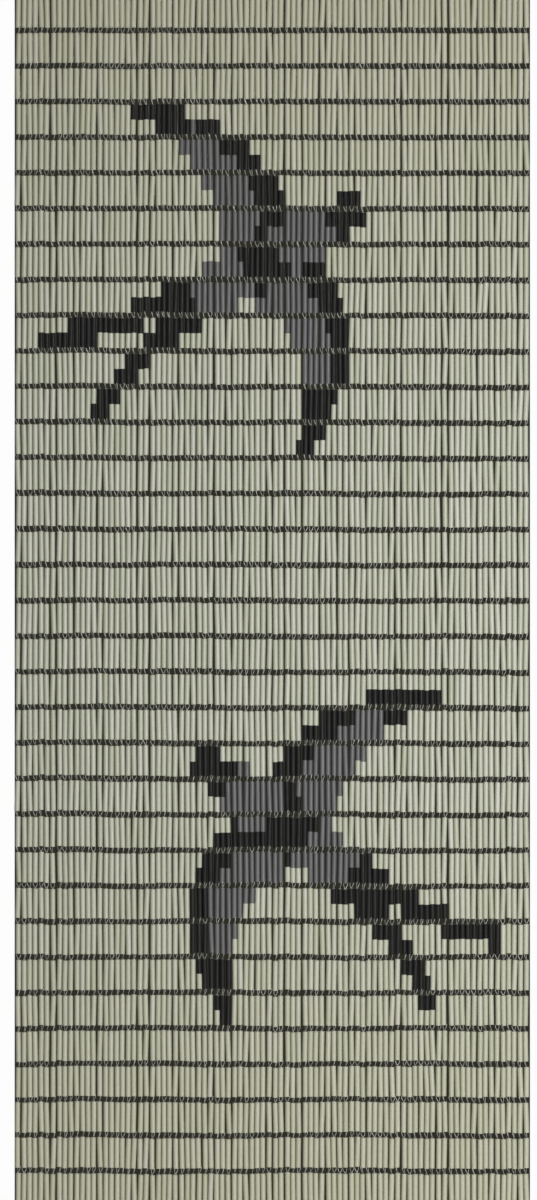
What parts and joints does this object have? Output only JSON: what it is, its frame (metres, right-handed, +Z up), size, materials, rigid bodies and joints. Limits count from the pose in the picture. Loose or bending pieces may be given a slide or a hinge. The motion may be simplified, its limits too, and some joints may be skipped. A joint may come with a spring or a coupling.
{
  "type": "tube fly curtain",
  "caption": "Doorway fly curtain of plastic tubes threaded on wire links, hung in close strands from a slim heading strip.",
  "frame": {"origin": "middle of the heading strip's top face, which is where the curtain is held", "axes": "+X along the heading strip, to the right seen from the front; -Y towards the front; +Z up, the strands hang towards -Z"},
  "size_m": [0.8962, 0.012, 2.1327],
  "materials": {
    "beige_tube": "satin moulded plastic, pale greenish beige",
    "black_tube": "satin moulded plastic, black",
    "grey_tube": "satin moulded plastic, mid grey",
    "wire": "drawn and galvanised wire, dull",
    "heading": "satin extruded plastic, same beige as the tubes"
  },
  "bodies": {
    "root": {"strands_on_heading": "beige_tube"}
  },
  "joints": []
}
